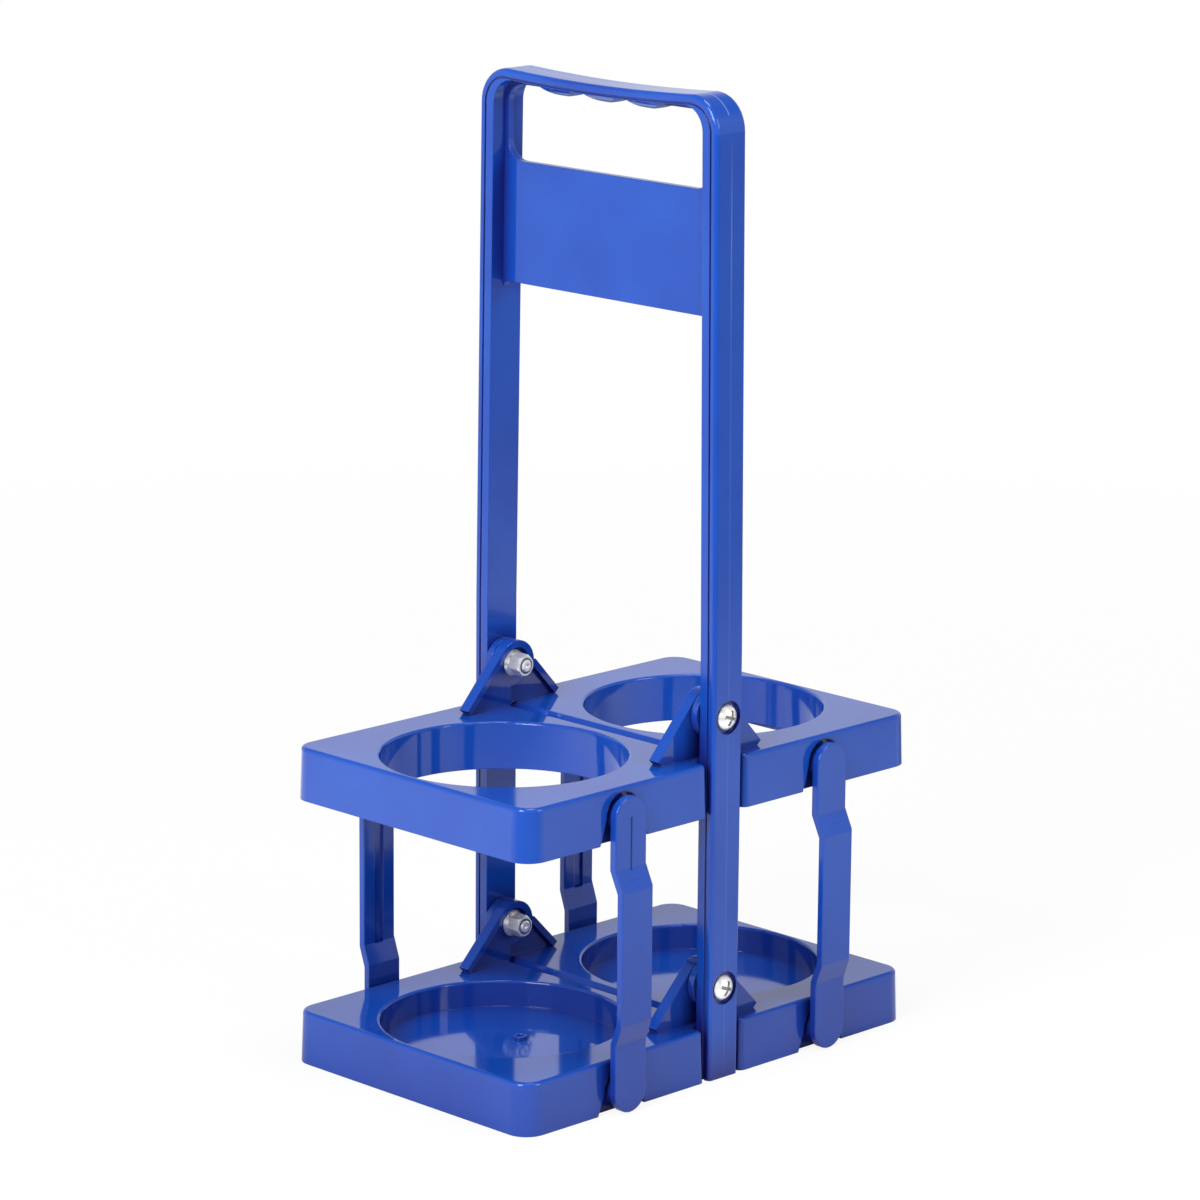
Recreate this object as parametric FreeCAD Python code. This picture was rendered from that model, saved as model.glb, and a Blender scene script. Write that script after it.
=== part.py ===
import FreeCAD, Part
import math
import os

V = FreeCAD.Vector

# Folding carrier for two bottles: a strap handle, two trays on each side of it, and struts.
# +Z is up, X runs along the trays, Y across the handle. The origin is on the floor, below
# the middle of the handle. Every length is in millimetres.

# Bottles and trays
bottleHoleRadius = 48.0
seamLand = 7.5
endLand = 3.5
trayHalfWidth = 66.0
trayHeight = 21.0
trayCornerRadius = 9.0
trayDraft = 0.7
seamCornerRadius = 3.2
notchCornerRadius = 1.0
plateThickness = 2.4
skirtWall = 2.2
tubeWall = 2.0
upperTubeLift = 1.8
floorThickness = 2.5
floorLift = 7.8
seamHalfGap = 0.4
topEdgeRadius = 1.5
seamChamfer = 1.9
holeRimRadius = 1.0
undersideRibThickness = 1.6
undersideRibDrop = 14.0

# Levels
foldedGap = 1.5
lowerPivotRise = 15.5
upperPivotRise = 17.0
handleRise = 256.0

# Handle strap
strapWidth = 16.0
strapThickness = 7.5
strapTopThickness = 7.7
strapProud = 0.4
strapLean = 2.4
strapCornerRadius = 14.0
strapInsideRadius = 3.0
straightHeight = 170.0
strapEdgeRadius = 1.6
partingWidth = 0.9
partingDepth = 0.5
partingInset = 2.9
notchGap = 1.6

# Grip bar
gripThickness = 4.2
gripDip = 1.5
gripRidgePitch = 23.0
gripRidgeCount = 3
gripRidgeDrop = 3.0
gripRidgeRadius = 13.0
gripRidgeBury = 2.0

# Web and blank panel inside the handle
webThickness = 3.0
webRim = 1.6
panelTopDrop = 36.5
panelHeight = 48.2
panelCornerRadius = 8.0
panelLowerRadius = 2.0

# Hinge ears
earThickness = 3.0
earEndRadius = 9.5
earReach = 26.8
earTipHeight = 1.8
earFlangeThickness = 2.8
earFlangeWidth = 2.0
earFlangeClearance = 4.3
earInnerEdge = 1.2
sideGap = 0.4
layerGap = 0.3

# Bolts and nuts
boltRadius = 2.5
boltClearance = 0.1
boltHeadRadius = 5.0
boltHeadHeight = 3.6
boltHeadRim = 0.9
counterboreRadius = 6.6
counterboreDepth = 1.6
driveWidth = 1.3
driveLength = 6.0
driveDepth = 2.0
driveTurn = 20.0
boltTail = 0.8
boltChamfer = 0.5
boltDimpleRadius = 0.9
boltDimpleDepth = 0.8
nutFlats = 8.0
nutHeight = 7.0
nutFlangeRadius = 5.4
nutFlangeHeight = 1.3
nutClearance = 0.05
nutChamfer = 0.7
nutTurn = 12.0

# Struts
strutShift = 0.5
strutPivotDrop = 11.0
strutHalfWidth = 8.2
strutThickness = 3.0
strutFaceGap = 0.9
strutFootSet = 1.0
joggleDepth = 3.8
joggleStart = 20.0
joggleEnd = 28.0
strutGrooveWidth = 4.6
strutGrooveDepth = 1.0
endLineWidth = 0.8
endLineDepth = 0.3
strutEdgeRadius = 0.5
strutBossRadius = 6.8
pinRadius = 3.5
pinClearance = 0.1
pinHeadLip = 0.9
pinHeadThickness = 1.4
pocketDepth = 3.0
pocketRadius = 9.0
pocketFlare = 3.6
pocketWall = 1.4

# A cutter runs past the face it opens, and a joined piece is sunk into its neighbour
overrun = 1.0
sink = 0.5

# Places worked out from the sizes above
holeOffset = seamLand + bottleHoleRadius
trayReach = holeOffset + bottleHoleRadius + endLand
pivotSpacing = trayReach + foldedGap
strutOffset = holeOffset + strutShift
lowerTop = trayHeight
lowerPivot = lowerTop + lowerPivotRise
upperPivot = lowerPivot + pivotSpacing
upperTop = upperPivot - upperPivotRise
upperBottom = upperTop - trayHeight
handleTop = upperTop + handleRise
panelTop = handleTop - panelTopDrop
panelBottom = panelTop - panelHeight
strapOuter = trayHalfWidth + strapProud
strapInner = strapOuter - strapThickness
notchReach = strapWidth / 2 + notchGap
outerEarFace = strapInner - sideGap
innerEarFace = outerEarFace - earThickness - layerGap
nutSeat = innerEarFace - earThickness - layerGap
strutBack = trayHalfWidth + strutFaceGap
strutHigh = upperTop - strutPivotDrop
strutLow = strutHigh - pivotSpacing
pocketFloor = trayHalfWidth - pocketDepth
trayCeiling = trayHeight - plateThickness
origin = V(0, 0, 0)
acrossX = V(1, 0, 0)
acrossY = V(0, 1, 0)
up = V(0, 0, 1)


def line(start, end):
    return Part.LineSegment(start, end).toShape()


def arc(start, middle, end):
    return Part.Arc(start, middle, end).toShape()


def roundedOutline(corners):
    # closed wire round corners given as (point, radius)
    starts = []
    middles = []
    ends = []
    count = len(corners)
    for i in range(count):
        at, radius = corners[i]
        toBefore = (corners[i - 1][0] - at).normalize()
        toAfter = (corners[(i + 1) % count][0] - at).normalize()
        half = toBefore.getAngle(toAfter) / 2
        reach = radius / math.tan(half)
        bisector = (toBefore + toAfter).normalize()
        starts.append(at + toBefore * reach)
        middles.append(at + bisector * (radius / math.sin(half) - radius))
        ends.append(at + toAfter * reach)
    sides = []
    for i in range(count):
        sides.append(arc(starts[i], middles[i], ends[i]))
        sides.append(line(ends[i], starts[(i + 1) % count]))
    return Part.Wire(sides)


def prism(wire, direction, start, end):
    # solid between two distances along the normal of the wire's plane through the origin
    body = Part.Face(wire).extrude(direction * (end - start))
    body.translate(direction * start)
    return body


def cylinderAlongY(radius, start, end, x, z):
    low = min(start, end)
    return Part.makeCylinder(radius, abs(end - start), V(x, low, z), acrossY)


def mirrored(shape, normal):
    return shape.mirror(origin, normal)


def trayOutline(inset, z):
    # plan of a tray on the +X side, with the notches that clear the handle legs
    seamCorner = seamCornerRadius - inset
    shoulder = notchReach + inset
    seam = seamHalfGap + inset
    side = trayHalfWidth - inset
    notch = outerEarFace - inset
    end = trayReach - inset
    corner = trayCornerRadius - inset
    hollow = notchCornerRadius + inset
    return roundedOutline([
        (V(seam, -notch, z), seamCorner),
        (V(shoulder, -notch, z), hollow),
        (V(shoulder, -side, z), seamCorner),
        (V(end, -side, z), corner),
        (V(end, side, z), corner),
        (V(shoulder, side, z), seamCorner),
        (V(shoulder, notch, z), hollow),
        (V(seam, notch, z), seamCorner),
    ])


def traySolid(inset, top):
    return Part.makeLoft([trayOutline(inset, 0), trayOutline(inset + trayDraft, top)], True, True)


def levelEdges(shape, z):
    found = []
    for edge in shape.Edges:
        ends = [vertex.Z for vertex in edge.Vertexes]
        if max(abs(end - z) for end in ends) < 1e-4:
            found.append(edge)
    return found


def pocketOutline(pivot, radius, below):
    # bell shape round the strut's pivot, open at the skirt's lower edge
    spread = radius + pocketFlare * (pivot + below) / pivot
    left = V(strutOffset - radius, 0, pivot)
    right = V(strutOffset + radius, 0, pivot)
    footRight = V(strutOffset + spread, 0, -below)
    footLeft = V(strutOffset - spread, 0, -below)
    return Part.Wire([
        arc(left, V(strutOffset, 0, pivot + radius), right),
        line(right, footRight),
        line(footRight, footLeft),
        line(footLeft, left),
    ])


def hingeEar(rise, face, flangeStart, rimmed):
    # ear on the +Y side with z = 0 on the tray: round end about the bolt, sloping to a tip
    # that faces the tray's far end; a flange stiffens the slope from flangeStart outwards,
    # and where the ear is rimmed it goes on round the end
    back = face - earThickness
    centre = V(0, 0, rise)
    tip = V(earReach, 0, earTipHeight)
    away = tip - centre
    angle = math.atan2(away.z, away.x) + math.acos(earEndRadius / away.Length)
    waistHeight = rise - math.sqrt(earEndRadius ** 2 - earInnerEdge ** 2)

    def onRound(turn, inset=0.0):
        return centre + V(math.cos(turn), 0, math.sin(turn)) * (earEndRadius - inset)

    tangent = onRound(angle)
    far = onRound(math.pi)
    slope = (tip - tangent).normalize()
    inward = V(slope.z, 0, -slope.x)
    foot = tip + inward * (earTipHeight / -inward.z)
    heel = V(earInnerEdge, 0, 0)
    waist = V(earInnerEdge, 0, waistHeight)
    blade = Part.Wire([
        arc(tangent, onRound((angle + math.pi) / 2), far),
        arc(far, onRound(1.25 * math.pi), waist),
        line(waist, heel),
        line(heel, foot),
        line(foot, tip),
        line(tip, tangent),
    ])
    ear = prism(blade, acrossY, back, face)
    start = tangent + slope * max(0.0, (flangeStart - tangent.x) / slope.x)
    flange = Part.makePolygon([
        start,
        tip,
        tip + inward * earFlangeThickness,
        start + inward * earFlangeThickness,
        start,
    ])
    ear = ear.fuse(prism(flange, acrossY, back - earFlangeWidth, face))
    if rimmed:
        crest = (angle + math.pi) / 2
        rim = Part.Wire([
            arc(tangent, onRound(crest), far),
            line(far, onRound(math.pi, earFlangeThickness)),
            arc(onRound(math.pi, earFlangeThickness), onRound(crest, earFlangeThickness),
                onRound(angle, earFlangeThickness)),
            line(onRound(angle, earFlangeThickness), tangent),
        ])
        ear = ear.fuse(prism(rim, acrossY, back - earFlangeWidth, face))
    root = Part.makeBox(foot.x - earInnerEdge, earThickness, plateThickness,
                        V(earInnerEdge, back, -plateThickness / 2))
    bore = cylinderAlongY(boltRadius + boltClearance, back - overrun, face + overrun, 0, rise)
    return ear.fuse(root).cut(bore)


def undersideRibs():
    # diagonal ribs between the bottle tube and the skirt
    reach = trayHalfWidth + trayReach
    blade = Part.makeBox(2 * reach, undersideRibThickness, undersideRibDrop + sink,
                         V(-reach, -undersideRibThickness / 2, trayCeiling - undersideRibDrop))
    envelope = traySolid(skirtWall / 2, trayHeight - plateThickness / 2)
    ribs = []
    for turn in (45, -45):
        rib = blade.copy()
        rib.rotate(origin, up, turn)
        rib.translate(V(holeOffset, 0, 0))
        ribs.append(rib.common(envelope))
    return ribs


def seamWedge():
    # cutter for the crisp chamfer along the top edge where the two halves meet
    edge = seamHalfGap + trayDraft
    wedge = Part.makePolygon([
        V(edge - overrun, 0, trayHeight - seamChamfer - overrun),
        V(edge + seamChamfer + overrun, 0, trayHeight + overrun),
        V(edge - overrun, 0, trayHeight + overrun),
        V(edge - overrun, 0, trayHeight - seamChamfer - overrun),
    ])
    return prism(wedge, acrossY, -trayHalfWidth, trayHalfWidth)


def makeTray(bottom, pivot, withFloor, innerLayer):
    # built on the +X side with z = 0 at the skirt's lower edge, for a tray that stands at
    # bottom and turns about pivot
    body = traySolid(0.0, trayHeight)
    body = body.makeFillet(topEdgeRadius, levelEdges(body, trayHeight)).cut(seamWedge())
    body = body.cut(traySolid(skirtWall, trayCeiling))
    tubeStart = 0.0 if withFloor else upperTubeLift
    tubeLength = trayHeight - plateThickness / 2 - tubeStart
    body = body.fuse(Part.makeCylinder(bottleHoleRadius + tubeWall, tubeLength,
                                       V(holeOffset, 0, tubeStart)))
    for rib in undersideRibs():
        body = body.fuse(rib)
    strutPivot = (strutLow if withFloor else strutHigh) - bottom
    liner = prism(pocketOutline(strutPivot, pocketRadius + pocketWall, 0), acrossY,
                  pocketFloor - skirtWall, trayHalfWidth - skirtWall / 2)
    pocket = prism(pocketOutline(strutPivot, pocketRadius, overrun), acrossY,
                   pocketFloor, trayHalfWidth + overrun)
    socket = cylinderAlongY(pinRadius + pinClearance, pocketFloor - skirtWall - overrun,
                            pocketFloor + overrun, strutOffset, strutPivot)
    opening = pocket.fuse(socket)
    body = body.fuse(liner).cut(opening)
    body = body.fuse(mirrored(liner, acrossY)).cut(mirrored(opening, acrossY))
    hole = Part.makeCylinder(bottleHoleRadius, trayHeight + 2 * overrun, V(holeOffset, 0, -overrun))
    body = body.cut(hole)
    rim = []
    for edge in levelEdges(body, trayHeight):
        if edge.BoundBox.YLength > 2 * bottleHoleRadius - sink:
            rim.append(edge)
    body = body.makeFillet(holeRimRadius, rim)
    if withFloor:
        body = body.fuse(Part.makeCylinder(bottleHoleRadius + tubeWall / 2, floorThickness,
                                           V(holeOffset, 0, floorLift)))
    rise = pivot - bottom - trayHeight
    if innerLayer:
        ear = hingeEar(rise, innerEarFace, 0.0, True)
    else:
        ear = hingeEar(rise, outerEarFace, earEndRadius + earFlangeClearance, False)
    ear.translate(V(0, 0, trayHeight))
    return body.fuse(ear).fuse(mirrored(ear, acrossY)).removeSplitter()


def strapContour(inset, bottom, lean=strapLean):
    # inverted U in the YZ plane, inset from the outer face of the handle strap
    drop = min(inset, gripThickness)
    radius = max(strapCornerRadius - drop, strapInsideRadius)
    bend = radius * (1 - math.sqrt(0.5))
    base = strapOuter - inset
    top = base - lean
    crest = handleTop - drop
    knee = crest - radius
    edges = []
    for side in (-1, 1):
        edges.append(line(V(0, side * base, bottom), V(0, side * base, straightHeight)))
        edges.append(line(V(0, side * base, straightHeight), V(0, side * top, knee)))
        edges.append(arc(V(0, side * top, knee), V(0, side * (top - bend), crest - bend),
                         V(0, side * (top - radius), crest)))
    edges.append(arc(V(0, radius - top, crest), V(0, 0, crest - gripDip), V(0, top - radius, crest)))
    edges.append(line(V(0, -base, bottom), V(0, base, bottom)))
    return Part.Wire(Part.__sortEdges__(edges))


def alongX(wire, width):
    return prism(wire, acrossX, -width / 2, width / 2)


def strapBlock(inset, bottom, width, lean=strapLean):
    return alongX(strapContour(inset, bottom, lean), width)


def rounded(body, bottom, radius):
    # rounds the long edges on both sides of the strap
    sides = []
    for edge in body.Edges:
        onSide = edge.BoundBox.XLength < sink
        if onSide and edge.BoundBox.ZMax > bottom + sink:
            sides.append(edge)
    return body.makeFillet(radius, sides)


def gripRidges():
    # rounded finger ridges below the grip bar
    half = strapWidth / 2
    under = handleTop - gripThickness
    valley = under - gripDip - gripRidgeDrop
    section = Part.Wire([
        arc(V(-half, 0, under), V(0, 0, valley), V(half, 0, under)),
        line(V(half, 0, under), V(half, 0, under + gripRidgeBury)),
        line(V(half, 0, under + gripRidgeBury), V(-half, 0, under + gripRidgeBury)),
        line(V(-half, 0, under + gripRidgeBury), V(-half, 0, under)),
    ])
    reach = strapOuter - strapLean - strapCornerRadius
    ridges = []
    for i in range(gripRidgeCount):
        middle = (i - (gripRidgeCount - 1) / 2) * gripRidgePitch
        lobe = Part.makeCylinder(gripRidgeRadius, strapWidth,
                                 V(-half, middle, valley + gripRidgeRadius), acrossX)
        ridges.append(lobe.common(prism(section, acrossY, -reach, reach)))
    return ridges


def webOpening(halfWidth, low, high, radius):
    corners = []
    for y, z in ((-halfWidth, low), (halfWidth, low), (halfWidth, high), (-halfWidth, high)):
        corners.append((V(0, y, z), radius))
    return alongX(roundedOutline(corners), webThickness + overrun)


def handleWeb():
    # thin web at mid width: a rim round the hand hole that widens into a blank panel
    web = strapBlock(strapThickness / 2, panelBottom - panelLowerRadius, webThickness)
    narrow = strapOuter - strapLean - strapTopThickness
    ceiling = handleTop - gripThickness - gripDip - webRim / 2
    hand = webOpening(narrow - webRim, panelTop, ceiling, panelCornerRadius)
    below = webOpening(narrow + sink, panelBottom - 2 * panelCornerRadius, panelBottom,
                       panelLowerRadius)
    return web.cut(hand).cut(below)


def makeHandle():
    strap = rounded(strapBlock(0.0, 0, strapWidth), 0, strapEdgeRadius)
    thickening = strapTopThickness - strapThickness
    inside = strapBlock(strapThickness, -overrun, strapWidth + 2 * overrun, strapLean + thickening)
    strap = strap.cut(inside)
    for piece in gripRidges() + [handleWeb()]:
        strap = strap.fuse(piece)
    deep = 2 * partingDepth
    groove = strapBlock(partingInset, -overrun, deep)
    groove = groove.cut(strapBlock(partingInset + partingWidth, -2 * overrun, deep + overrun))
    for side in (-1, 1):
        parting = groove.copy()
        parting.translate(V(side * strapWidth / 2, 0, 0))
        strap = strap.cut(parting)
    for z in (lowerPivot, upperPivot):
        bore = cylinderAlongY(boltRadius + boltClearance, strapInner - overrun,
                              strapOuter + overrun, 0, z)
        recess = cylinderAlongY(counterboreRadius, strapOuter - counterboreDepth,
                                strapOuter + overrun, 0, z)
        seat = bore.fuse(recess)
        strap = strap.cut(seat).cut(mirrored(seat, acrossY))
    return strap.removeSplitter()


def strutBar():
    # flat bar whose middle stretch is set outwards, with round ends about the pivots
    front = strutBack + strutThickness
    end = strutHalfWidth + overrun
    steps = (
        (strutFootSet, strutLow - end),
        (strutFootSet, strutLow + joggleStart),
        (joggleDepth, strutLow + joggleEnd),
        (joggleDepth, strutHigh - joggleEnd),
        (0.0, strutHigh - joggleStart),
        (0.0, strutHigh + end),
    )
    backLine = [V(0, strutBack + out, z) for out, z in steps]
    frontLine = [V(0, front + out, z) for out, z in reversed(steps)]
    side = Part.makePolygon(backLine + frontLine + backLine[:1])
    left = strutOffset - strutHalfWidth
    right = strutOffset + strutHalfWidth
    bar = prism(side, acrossX, left - overrun, right + overrun)
    stadium = Part.Wire([
        line(V(left, 0, strutLow), V(left, 0, strutHigh)),
        arc(V(left, 0, strutHigh), V(strutOffset, 0, strutHigh + strutHalfWidth),
            V(right, 0, strutHigh)),
        line(V(right, 0, strutHigh), V(right, 0, strutLow)),
        arc(V(right, 0, strutLow), V(strutOffset, 0, strutLow - strutHalfWidth),
            V(left, 0, strutLow)),
    ])
    bar = bar.common(prism(stadium, acrossY, strutBack - overrun, front + joggleDepth + overrun))
    outerEdges = []
    for edge in bar.Edges:
        box = edge.BoundBox
        onFront = box.YMin > front - 1e-3 and box.YLength < 1e-3
        if onFront and box.ZLength > sink:
            outerEdges.append(edge)
    return bar.makeFillet(strutEdgeRadius, outerEdges)


def makeStrut(lined):
    # on the +X, +Y side; the pins are moulded on and snap through the pocket floors
    bar = strutBar()
    front = strutBack + strutThickness
    length = strutHigh - strutLow - joggleStart - joggleEnd
    groove = Part.makeBox(strutGrooveWidth, strutGrooveDepth, length,
                          V(strutOffset - strutGrooveWidth / 2, strutBack + joggleDepth,
                            (strutLow + strutHigh - length) / 2))
    bar = bar.cut(groove)
    if lined:
        bar = bar.cut(Part.makeBox(endLineWidth, 2 * endLineDepth, joggleEnd,
                                   V(strutOffset - endLineWidth / 2, front - endLineDepth,
                                     strutHigh - joggleEnd)))
    headStart = pocketFloor - skirtWall - layerGap
    for z, out in ((strutLow, strutFootSet), (strutHigh, 0.0)):
        bar = bar.fuse(cylinderAlongY(strutBossRadius, pocketFloor + layerGap,
                                      strutBack + out + sink, strutOffset, z))
        bar = bar.fuse(cylinderAlongY(pinRadius, headStart - pinHeadThickness, strutBack,
                                      strutOffset, z))
        bar = bar.fuse(Part.makeCone(pinRadius + pinHeadLip, pinRadius - pinHeadLip / 2,
                                     pinHeadThickness, V(strutOffset, headStart, z), -acrossY))
    return bar.removeSplitter()


def makeBolt():
    # along Y on the +Y side, at z = 0: domed head with a cross recess, dimpled end
    seat = strapOuter - counterboreDepth
    crown = seat + boltHeadHeight
    dome = boltHeadHeight - boltHeadRim
    domeRadius = (dome ** 2 + boltHeadRadius ** 2) / (2 * dome)
    tail = nutSeat - nutHeight - boltTail
    head = cylinderAlongY(boltHeadRadius, seat, crown, 0, 0)
    head = head.common(Part.makeSphere(domeRadius, V(0, crown - domeRadius, 0)))
    shank = cylinderAlongY(boltRadius, tail, seat + sink, 0, 0)
    end = [edge for edge in shank.Edges if edge.BoundBox.YMax < tail + sink]
    body = head.fuse(shank.makeChamfer(boltChamfer, end))
    for turn in (0, 90):
        slot = Part.makeBox(driveWidth, driveDepth + overrun, driveLength,
                            V(-driveWidth / 2, crown - driveDepth, -driveLength / 2))
        slot.rotate(origin, acrossY, turn + driveTurn)
        body = body.cut(slot)
    return body.cut(Part.makeCone(boltDimpleRadius, 0, boltDimpleDepth, V(0, tail, 0), acrossY))


def makeNut():
    # flanged hexagon nut along Y on the +Y side, at z = 0
    tip = nutSeat - nutHeight
    corner = nutFlats / math.sqrt(3)
    points = []
    for i in range(7):
        angle = math.radians(60 * i + nutTurn)
        points.append(V(math.cos(angle), 0, math.sin(angle)) * corner)
    hexagon = prism(Part.makePolygon(points), acrossY, tip, nutSeat)
    turned = cylinderAlongY(corner, tip, nutSeat, 0, 0)
    end = [edge for edge in turned.Edges if edge.BoundBox.YMax < tip + sink]
    hexagon = hexagon.common(turned.makeChamfer(nutChamfer, end))
    flange = Part.makeCone(nutFlangeRadius, nutFlats / 2, nutFlangeHeight, V(0, nutSeat, 0), -acrossY)
    bore = cylinderAlongY(boltRadius + nutClearance, tip - overrun, nutSeat + overrun, 0, 0)
    return hexagon.fuse(flange).cut(bore).removeSplitter()


def save(name, shape):
    solid, = shape.Solids
    print(name, solid.isValid(), round(solid.Volume))
    solid.exportStep("parts/" + name + ".step")


def saveRaised(name, shape, height):
    raised = shape.copy()
    raised.translate(V(0, 0, height))
    save(name, raised)


os.makedirs("parts", exist_ok=True)
save("handle", makeHandle())

for level, bottom, pivot in (("lower", 0.0, lowerPivot), ("upper", upperBottom, upperPivot)):
    withFloor = level == "lower"
    saveRaised(level + "_right_tray", makeTray(bottom, pivot, withFloor, False), bottom)
    left = mirrored(makeTray(bottom, pivot, withFloor, True), acrossX)
    saveRaised(level + "_left_tray", left, bottom)

for side, strut in (("right", makeStrut(False)), ("left", mirrored(makeStrut(True), acrossX))):
    save("rear_" + side + "_strut", strut)
    save("front_" + side + "_strut", mirrored(strut, acrossY))

for level, height in (("lower", lowerPivot), ("upper", upperPivot)):
    for kind, piece in (("bolt", makeBolt()), ("nut", makeNut())):
        saveRaised(level + "_rear_" + kind, piece, height)
        saveRaised(level + "_front_" + kind, mirrored(piece, acrossY), height)
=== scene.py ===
import bpy
import math
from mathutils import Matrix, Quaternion, Vector


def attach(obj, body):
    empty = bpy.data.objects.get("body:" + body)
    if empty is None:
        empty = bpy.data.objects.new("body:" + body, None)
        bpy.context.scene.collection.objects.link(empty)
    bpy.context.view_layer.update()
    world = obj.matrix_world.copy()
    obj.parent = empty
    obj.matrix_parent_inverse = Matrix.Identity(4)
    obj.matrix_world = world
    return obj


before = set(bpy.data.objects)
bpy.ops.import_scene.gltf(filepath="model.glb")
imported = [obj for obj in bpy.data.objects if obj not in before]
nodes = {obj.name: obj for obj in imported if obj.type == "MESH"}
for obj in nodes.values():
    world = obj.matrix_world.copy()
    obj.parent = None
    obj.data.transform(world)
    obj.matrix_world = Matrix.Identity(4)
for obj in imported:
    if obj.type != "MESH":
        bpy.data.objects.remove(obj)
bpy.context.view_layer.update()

hingeLevels = (0.0365, 0.145)
print("frame loaded:", len(nodes), "nodes")


class Wire:
    # a shader socket that can be added, subtracted, multiplied and raised to a power
    def __init__(self, tree, socket):
        self.tree = tree
        self.socket = socket

    def calc(self, operation, *values):
        node = self.tree.nodes.new("ShaderNodeMath")
        node.operation = operation
        for place, value in enumerate(values):
            plug(self.tree, node.inputs[place], value)
        return Wire(self.tree, node.outputs[0])

    def __add__(self, other):
        return self.calc("ADD", self, other)

    def __radd__(self, other):
        return self.calc("ADD", other, self)

    def __sub__(self, other):
        return self.calc("SUBTRACT", self, other)

    def __rsub__(self, other):
        return self.calc("SUBTRACT", other, self)

    def __mul__(self, other):
        return self.calc("MULTIPLY", self, other)

    def __rmul__(self, other):
        return self.calc("MULTIPLY", other, self)

    def __pow__(self, other):
        return self.calc("POWER", self, other)

    def size(self):
        return self.calc("ABSOLUTE", self)

    def atMost(self, limit):
        return self.calc("MINIMUM", self, limit)


def plug(tree, socket, value):
    if isinstance(value, Wire):
        tree.links.new(value.socket, socket)
    else:
        socket.default_value = value


class Finish:
    # the shader of one material or of the world, its nodes made by kind, settings and inputs
    def __init__(self, owner, place="Object"):
        owner.use_nodes = True
        self.owner = owner
        self.tree = owner.node_tree
        self.tree.nodes.clear()
        self.place = self.node("ShaderNodeTexCoord", output=place)

    def node(self, kind, settings=None, inputs=None, output=0):
        node = self.tree.nodes.new(kind)
        for key, value in (settings or {}).items():
            setattr(node, key, value)
        for key, value in (inputs or {}).items():
            plug(self.tree, node.inputs[key], value)
        if output is None:
            return node
        return Wire(self.tree, node.outputs[output])

    def noise(self, scale, detail, roughness, place=None):
        return self.node("ShaderNodeTexNoise", {}, {
            "Vector": place or self.place, "Scale": scale, "Detail": detail, "Roughness": roughness})

    def stretched(self, scale, turn=(0, 0, 0)):
        return self.node("ShaderNodeMapping", {}, {
            "Vector": self.place, "Rotation": turn, "Scale": scale})

    def ramp(self, value, low, high, start=0.0, end=1.0):
        return self.node("ShaderNodeMapRange", {"clamp": True}, {
            "Value": value, "From Min": low, "From Max": high, "To Min": start, "To Max": end})

    def axes(self):
        parts = self.node("ShaderNodeSeparateXYZ", {}, {0: self.place}, None)
        return [Wire(self.tree, parts.outputs[axis]) for axis in "XYZ"]

    def rays(self, *kinds):
        path = self.node("ShaderNodeLightPath", output=None)
        return [Wire(self.tree, path.outputs["Is " + kind + " Ray"]) for kind in kinds]

    def mixColour(self, factor, first, second):
        return self.node("ShaderNodeMix", {"data_type": "RGBA"}, {0: factor, 6: first, 7: second}, 2)

    def mixShader(self, factor, first, second):
        return self.node("ShaderNodeMixShader", {}, {0: factor, 1: first, 2: second})

    def light(self, kind, shade, strength):
        return self.node(kind, {}, {"Color": (shade, shade, shade, 1), "Strength": strength})

    def surface(self, inputs):
        shader = self.node("ShaderNodeBsdfPrincipled", {}, inputs)
        self.node("ShaderNodeOutputMaterial", {}, {"Surface": shader}, None)
        return self.owner


def newMaterial(name):
    return Finish(bpy.data.materials.new(name))


# each noise is given as scale, detail and roughness
bluePlastic = {
    "pigment": (0.0075, 0.071, 0.43, 1),
    "deepPigment": (0.006, 0.055, 0.37, 1),
    "deepRange": (0.35, 0.68),
    "paleScuff": (0.05, 0.14, 0.48, 1),
    "ior": 1.47,
    "cloud": (22.0, 2.0, 0.5),
    "flow": (160.0, 4.0, 0.6),
    "flowStretch": (1.0, 1.0, 0.16),
    "peel": (420.0, 2.0, 0.45),
    "grain": (2600.0, 1.0, 0.5),
    "rubs": (75.0, 6.0, 0.72),
    "rubRange": (0.62, 0.78),
    "rubShow": 0.05,
    "scratches": (38.0, 5.0, 0.75),
    "scratchTurn": (0.3, 0.5, 0.9),
    "scratchStretch": (1.0, 26.0, 9.0),
    "scratchRange": (0.665, 0.70),
    "scratchShow": 0.06,
    "roughness": 0.072,
    "cloudRoughness": (0.3, 0.7, -0.025, 0.035),
    "rubRoughness": 0.06,
    "scratchRoughness": 0.10,
    "flowRoughness": 0.05,
    "relief": {"peel": 0.55, "grain": 0.12, "flow": 0.25, "scratches": 0.35},
    "reliefStrength": 0.10,
    "reliefDepth": 0.00006,
    "edgeRound": 0.0006,
    "edgeSamples": 4,
}

# painted shade in corners and hollows: reach of the occlusion, then the openness that counts as closed
# and as free
paintedShade = {
    "pigment": (0.008, 0.013, 0.165, 1),
    "samples": 8,
    "tray": (0.12, 0.12, 0.80),
    "handle": (0.03, 0.45, 0.90),
}

partingSheenLine = {
    "width": 0.00045,
    "side": 0.064,
    "top": 0.3765,
    "edge": 0.0005,
    "fade": (0.29, 0.36, 0.10, 0.5),
    "shade": (0.22, 0.32, 0.62, 1),
}


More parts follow.
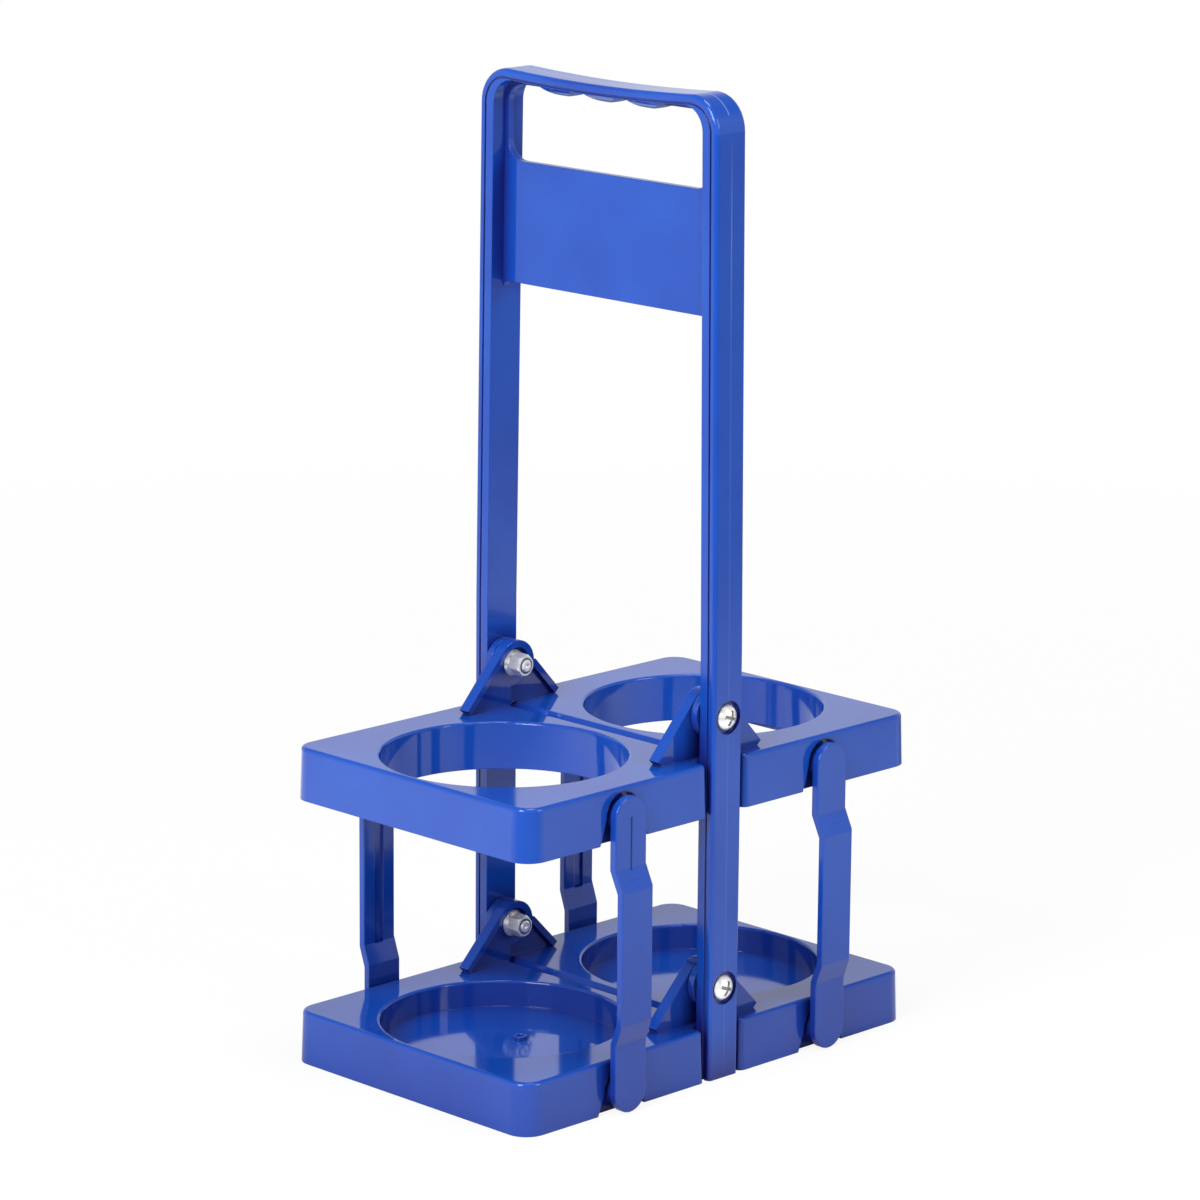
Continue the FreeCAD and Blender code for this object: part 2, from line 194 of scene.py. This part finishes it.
def drawPartingSheenLine(finish, colour):
    # the mould's parting line runs over the grip and down the outside of both legs; its light colour is
    # a painted highlight that fades lower down
    across, along, height = finish.axes()
    width, side, top, edge = [partingSheenLine[key] for key in ("width", "side", "top", "edge")]
    outside = (finish.ramp(along * along, side ** 2, (side + edge) ** 2)
               + finish.ramp(height, top, top + edge)).atMost(1.0)
    sheenLine = finish.ramp(across * across, width ** 2, (width / 2) ** 2) * outside
    sheenLine = sheenLine * finish.ramp(height, *partingSheenLine["fade"])
    return finish.mixColour(sheenLine, colour, partingSheenLine["shade"])


def makeBluePlastic(name, place):
    look = bluePlastic
    finish = newMaterial(name)
    cloud = finish.noise(*look["cloud"])
    flow = finish.noise(*look["flow"], finish.stretched(look["flowStretch"]))
    peel = finish.noise(*look["peel"])
    grain = finish.noise(*look["grain"])
    rubbed = finish.ramp(finish.noise(*look["rubs"]), *look["rubRange"])
    scratchPlace = finish.stretched(look["scratchStretch"], look["scratchTurn"])
    scratches = finish.ramp(finish.noise(*look["scratches"], scratchPlace), *look["scratchRange"])
    colour = finish.mixColour(finish.ramp(cloud, *look["deepRange"]), look["pigment"],
                              look["deepPigment"])
    worn = rubbed * look["rubShow"] + scratches * look["scratchShow"]
    colour = finish.mixColour(worn, colour, look["paleScuff"])
    if place == "handle":
        colour = drawPartingSheenLine(finish, colour)
    # painted shade: corners and hollows are painted deeper in colour where the occlusion finds them
    # closed in
    reach, closed, free = paintedShade[place]
    shadeOpenness = finish.node("ShaderNodeAmbientOcclusion", {"samples": paintedShade["samples"]},
                           {"Distance": reach}, "AO")
    colour = finish.mixColour(finish.ramp(shadeOpenness, closed, free), paintedShade["pigment"], colour)
    roughness = (look["roughness"] + finish.ramp(cloud, *look["cloudRoughness"])
                 + rubbed * look["rubRoughness"] + scratches * look["scratchRoughness"]
                 + (flow - 0.5) * look["flowRoughness"])
    relief = look["relief"]
    height = (peel * relief["peel"] + grain * relief["grain"] + flow * relief["flow"]
              - scratches * relief["scratches"])
    edges = finish.node("ShaderNodeBevel", {"samples": look["edgeSamples"]},
                        {"Radius": look["edgeRound"]})
    bump = finish.node("ShaderNodeBump", {}, {
        "Strength": look["reliefStrength"], "Distance": look["reliefDepth"],
        "Height": height, "Normal": edges})
    return finish.surface({
        "Base Color": colour, "Roughness": roughness, "IOR": look["ior"], "Normal": bump})


zincPlate = {
    "bright": (0.98, 0.98, 0.97, 1),
    "warm": (0.90, 0.89, 0.85, 1),
    "cloud": (420.0, 4.0, 0.6),
    "warmth": (0.42, 0.75, 0.0, 0.6),
    "fine": (2600.0, 3.0, 0.6),
    "fineStrength": 0.05,
    "fineDepth": 0.00002,
    "metallic": 0.72,
    "roughness": 0.26,
    "cloudRoughness": (0.3, 0.7, 0.0, 0.12),
}

recessPaintedShade = {
    "shade": (0.30, 0.31, 0.30, 1),
    "reach": 0.0031,
    "reachEdge": 0.0002,
    "face": 0.0675,
    "faceEdge": 0.0010,
    "back": 0.060,
    "backEdge": 0.0005,
}


def recessShadeMask(finish):
    # painted shade inside the cross recess of a bolt head: near a bolt's axis and just behind its face
    low, high = hingeLevels
    across, along, height = finish.axes()
    rise = (height - (low + high) / 2).size() - (high - low) / 2
    fromAxis = (across * across + rise * rise) ** 0.5
    outward = along.size()
    reach, face, back = recessPaintedShade["reach"], recessPaintedShade["face"], recessPaintedShade["back"]
    return (finish.ramp(fromAxis, reach, reach - recessPaintedShade["reachEdge"])
            * finish.ramp(outward, face, face - recessPaintedShade["faceEdge"])
            * finish.ramp(outward, back, back + recessPaintedShade["backEdge"]))


def makeZinc():
    look = zincPlate
    finish = newMaterial("zinc_plate")
    cloud = finish.noise(*look["cloud"])
    colour = finish.mixColour(finish.ramp(cloud, *look["warmth"]), look["bright"], look["warm"])
    # the bolt heads' cross recesses are painted darker: painted shade
    colour = finish.mixColour(recessShadeMask(finish), colour, recessPaintedShade["shade"])
    roughness = look["roughness"] + finish.ramp(cloud, *look["cloudRoughness"])
    bump = finish.node("ShaderNodeBump", {}, {
        "Strength": look["fineStrength"], "Distance": look["fineDepth"],
        "Height": finish.noise(*look["fine"])})
    return finish.surface({
        "Base Color": colour, "Metallic": look["metallic"], "Roughness": roughness,
        "Normal": bump})


def coat(thing, material):
    thing.data.materials.clear()
    thing.data.materials.append(material)


blue = makeBluePlastic("royal_blue_plastic", "tray")
handleBlue = makeBluePlastic("handle_blue_plastic", "handle")
zinc = makeZinc()
for name, thing in nodes.items():
    if name.endswith(("_bolt", "_nut")):
        coat(thing, zinc)
    else:
        coat(thing, handleBlue if name == "handle" else blue)
print("finishes on")

nylonRing = {
    "inner": 0.00256,
    "outer": 0.00325,
    "depth": 0.0012,
    "bevel": 0.00012,
    "proud": 0.00012,
    "nutFace": 0.0449,
    "colour": (0.035, 0.05, 0.045, 1),
    "pale": (0.063, 0.09, 0.081, 1),
    "mottle": (1800.0, 3.0, 0.5),
    "mottleRange": (0.3, 0.7, 0.0, 0.5),
    "polish": (900.0, 2.0, 0.5),
    "polishRange": (0.3, 0.7, 0.32, 0.45),
    "ior": 1.53,
}

gateMark = {
    "inner": 0.0014,
    "outer": 0.0028,
    "depth": 0.0019,
    "bevel": 0.0003,
    "floor": 0.0103,
    "centre": 0.046,
}

ringMaking = {"corners": 48, "bevelSteps": 3, "smoothAngle": math.radians(35)}


def makeShadedNylon():
    look = nylonRing
    finish = newMaterial("nylon_in_painted_shade")
    # the ring is the nut's nylon insert; its near-black colour is partly painted shade
    mottle = finish.ramp(finish.noise(*look["mottle"]), *look["mottleRange"])
    colour = finish.mixColour(mottle, look["colour"], look["pale"])
    roughness = finish.ramp(finish.noise(*look["polish"]), *look["polishRange"])
    return finish.surface({"Base Color": colour, "Roughness": roughness, "IOR": look["ior"]})


def modelRing(name, sizes):
    # a flat circle widened into a washer, thickened and bevelled
    bpy.ops.object.select_all(action="DESELECT")
    bpy.ops.mesh.primitive_circle_add(vertices=ringMaking["corners"], radius=sizes["inner"],
                                      location=(0, 0, 0))
    piece = bpy.context.object
    piece.name = name
    bpy.ops.object.mode_set(mode="EDIT")
    bpy.ops.mesh.select_all(action="SELECT")
    bpy.ops.mesh.extrude_edges_move()
    widen = sizes["outer"] / sizes["inner"]
    bpy.ops.transform.resize(value=(widen, widen, 1))
    bpy.ops.mesh.select_all(action="SELECT")
    bpy.ops.mesh.extrude_region_move(TRANSFORM_OT_translate={"value": (0, 0, sizes["depth"])})
    bpy.ops.mesh.select_all(action="SELECT")
    bpy.ops.mesh.normals_make_consistent(inside=False)
    bpy.ops.object.mode_set(mode="OBJECT")
    edges = piece.modifiers.new("edges", "BEVEL")
    edges.width = sizes["bevel"]
    edges.segments = ringMaking["bevelSteps"]
    edges.limit_method = "ANGLE"
    bpy.ops.object.modifier_apply(modifier="edges")
    bpy.ops.object.shade_smooth_by_angle(angle=ringMaking["smoothAngle"])
    return piece


def placeCopy(model, name, turn, move):
    bpy.ops.object.select_all(action="DESELECT")
    model.select_set(True)
    bpy.context.view_layer.objects.active = model
    bpy.ops.object.duplicate()
    piece = bpy.context.object
    piece.name = name
    piece.rotation_euler = turn
    piece.location = move
    bpy.ops.object.transform_apply(location=True, rotation=True, scale=True)
    return piece


def drop(model):
    bpy.ops.object.select_all(action="DESELECT")
    model.select_set(True)
    bpy.ops.object.delete()


def addNylonRings():
    model = modelRing("ring_model", nylonRing)
    coat(model, makeShadedNylon())
    inFace = nylonRing["nutFace"] - nylonRing["proud"]
    for level, height in zip(("lower", "upper"), hingeLevels):
        for place, side in (("rear", 1), ("front", -1)):
            ring = placeCopy(model, level + "_" + place + "_nut_ring",
                             (-side * math.pi / 2, 0, 0), (0, side * inFace, height))
            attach(ring, "handle_assembly")
    drop(model)


def addGateMarks():
    model = modelRing("gate_model", gateMark)
    coat(model, blue)
    sunk = gateMark["floor"] - gateMark["bevel"]
    for name, side in (("left", -1), ("right", 1)):
        mark = placeCopy(model, name + "_gate_mark", (0, 0, 0),
                         (side * gateMark["centre"], 0, sunk))
        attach(mark, "lower_" + name + "_tray")
    drop(model)


addNylonRings()
addGateMarks()
print("small pieces on")

studio = {
    "floorSize": 14.0,
    "floorShade": 0.9,
    "whiteFade": (0.25, 1.2, 0.88, 1.0),
    "shineStrength": 1.6,
    "shineFade": (0.15, 0.50),
    "shineLevel": (0.50, 1.05, 0.75, 0.34),
    "leftShine": (-0.3, 0.4, 0.0, 0.28),
    "cameraShine": (-0.60, -0.25, 0.45, 1.0),
    "rightAcross": (0.10, 0.28),
    "rightAlong": (-0.28, -0.12),
    "rightLoss": 0.75,
    "skyOnObject": 0.33,
    "skyFrontToBack": (-0.6, 0.3, 0.85, 0.92),
    "skyLowToHigh": (0.35, 0.62, 1.0, 0.35),
}


def makeFloor():
    bpy.ops.object.select_all(action="DESELECT")
    bpy.ops.mesh.primitive_plane_add(size=studio["floorSize"], location=(0, 0, 0))
    floor = bpy.context.object
    floor.name = "studio_floor"
    finish = newMaterial("pale_floor")
    shade = studio["floorShade"]
    matt = finish.node("ShaderNodeBsdfDiffuse", {}, {"Color": (shade, shade, shade, 1)})
    white = finish.light("ShaderNodeEmission", 1, 1.0)
    black = finish.light("ShaderNodeEmission", 0, 0.0)
    bright = finish.light("ShaderNodeEmission", 1, studio["shineStrength"])
    seen, clear, shiny = finish.rays("Camera", "Transmission", "Glossy")
    distance = finish.node("ShaderNodeVectorMath", {"operation": "LENGTH"}, {0: finish.place}, "Value")
    shader = finish.mixShader((seen + clear) * finish.ramp(distance, *studio["whiteFade"]), matt, white)
    across, along, height = finish.axes()
    level = finish.ramp(along, *studio["leftShine"]) + finish.ramp(distance, *studio["shineLevel"])
    # in reflections the floor is darker on the camera's side and to the right of the carrier
    level = level * finish.ramp(across + along, *studio["cameraShine"])
    right = finish.ramp(across, *studio["rightAcross"]) * finish.ramp(along, *studio["rightAlong"])
    level = level * (1.0 - right * studio["rightLoss"])
    shine = finish.mixShader(level, black, bright)
    shader = finish.mixShader(shiny * finish.ramp(distance, *studio["shineFade"]), shader, shine)
    finish.node("ShaderNodeOutputMaterial", {}, {"Surface": shader}, None)
    coat(floor, finish.owner)


def makeSky():
    world = bpy.data.worlds.new("white_studio")
    bpy.context.scene.world = world
    finish = Finish(world, "Generated")
    seen, clear, shiny = finish.rays("Camera", "Transmission", "Glossy")
    across, along, height = finish.axes()
    gloss = (finish.ramp(along, *studio["skyFrontToBack"])
             * finish.ramp(height, *studio["skyLowToHigh"]))
    low = studio["skyOnObject"]
    level = (seen + clear) * (1.0 - low) + shiny * (gloss - low) + low
    sky = finish.mixShader(level, finish.light("ShaderNodeBackground", 0, 0.0),
                           finish.light("ShaderNodeBackground", 1, 1.0))
    finish.node("ShaderNodeOutputWorld", {}, {"Surface": sky}, None)


aimHeight = 0.17
softboxes = [
    {"name": "overhead", "from": (0.1, -0.2, 1.9), "size": (0.85, 0.6), "watts": 12.0},
    {"name": "left_box", "from": (-1.65, -0.3, 1.15), "size": (0.75, 1.0), "watts": 35.0},
    {"name": "right_box", "from": (0.6, -1.85, 1.1), "size": (0.65, 0.95), "watts": 11.5},
]


def makeLights():
    aim = Vector((0, 0, aimHeight))
    for box in softboxes:
        spot = Vector(box["from"])
        bpy.ops.object.light_add(type="AREA", location=spot)
        lamp = bpy.context.object
        lamp.name = box["name"]
        lamp.data.shape = "RECTANGLE"
        lamp.data.size, lamp.data.size_y = box["size"]
        lamp.data.energy = box["watts"]
        lamp.rotation_euler = (aim - spot).to_track_quat("-Z", "Y").to_euler()


photographed = {
    "azimuth": -45.1,
    "elevation": 13.4,
    "distance": 1.97,
    "sensor": 36.0,
    "lens": 151.2,
    "roll": 0.47,
    "aimRight": -0.0026,
    "aimHeight": 0.1798,
    "clip": (0.05, 60.0),
}


def makeCamera():
    shot = photographed
    azimuth = math.radians(shot["azimuth"])
    elevation = math.radians(shot["elevation"])
    right = Vector((math.cos(azimuth), math.sin(azimuth), 0))
    back = Vector((math.sin(azimuth) * math.cos(elevation),
                   -math.cos(azimuth) * math.cos(elevation), math.sin(elevation)))
    aim = right * shot["aimRight"] + Vector((0, 0, shot["aimHeight"]))
    bpy.ops.object.camera_add(location=aim + back * shot["distance"])
    camera = bpy.context.object
    camera.name = "photo_camera"
    camera.data.sensor_width = shot["sensor"]
    camera.data.lens = shot["lens"]
    camera.data.clip_start, camera.data.clip_end = shot["clip"]
    camera.rotation_mode = "QUATERNION"
    turn = (-back).to_track_quat("-Z", "Y")
    roll = Quaternion((0, 0, 1), math.radians(shot["roll"]))
    camera.rotation_quaternion = turn @ roll
    bpy.context.scene.camera = camera


makeFloor()
makeSky()
makeLights()
makeCamera()
bpy.context.scene.view_settings.view_transform = "Standard"
print("studio ready")
